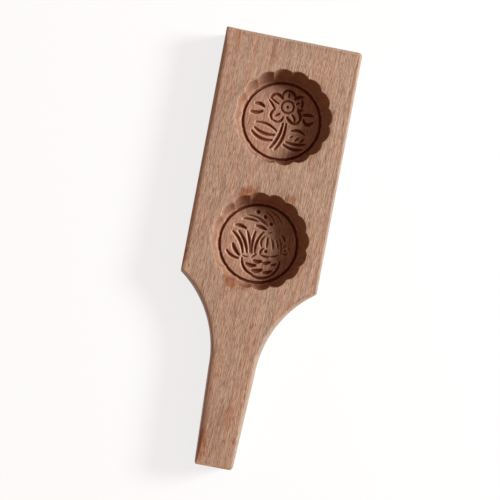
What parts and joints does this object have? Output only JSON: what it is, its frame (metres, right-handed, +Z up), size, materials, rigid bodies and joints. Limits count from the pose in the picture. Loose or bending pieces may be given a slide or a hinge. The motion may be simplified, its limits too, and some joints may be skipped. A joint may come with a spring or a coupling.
{
  "type": "wooden mooncake mold",
  "caption": "Flat wooden paddle with a tapered handle and fluted round cavities, with pictures carved in their floors, for pressing filled cakes.",
  "frame": {"origin": "centre of the board's bounding box, on the flat back that it lies on", "axes": "+Z up out of the cavities, +Y from the handle's end to the head's far end, +X to the right when seen from above with the head away"},
  "size_m": [0.09, 0.28, 0.026],
  "materials": {
    "beech": "fine-sanded, oiled and worn"
  },
  "bodies": {
    "root": {"mould_board": "beech"}
  },
  "joints": []
}
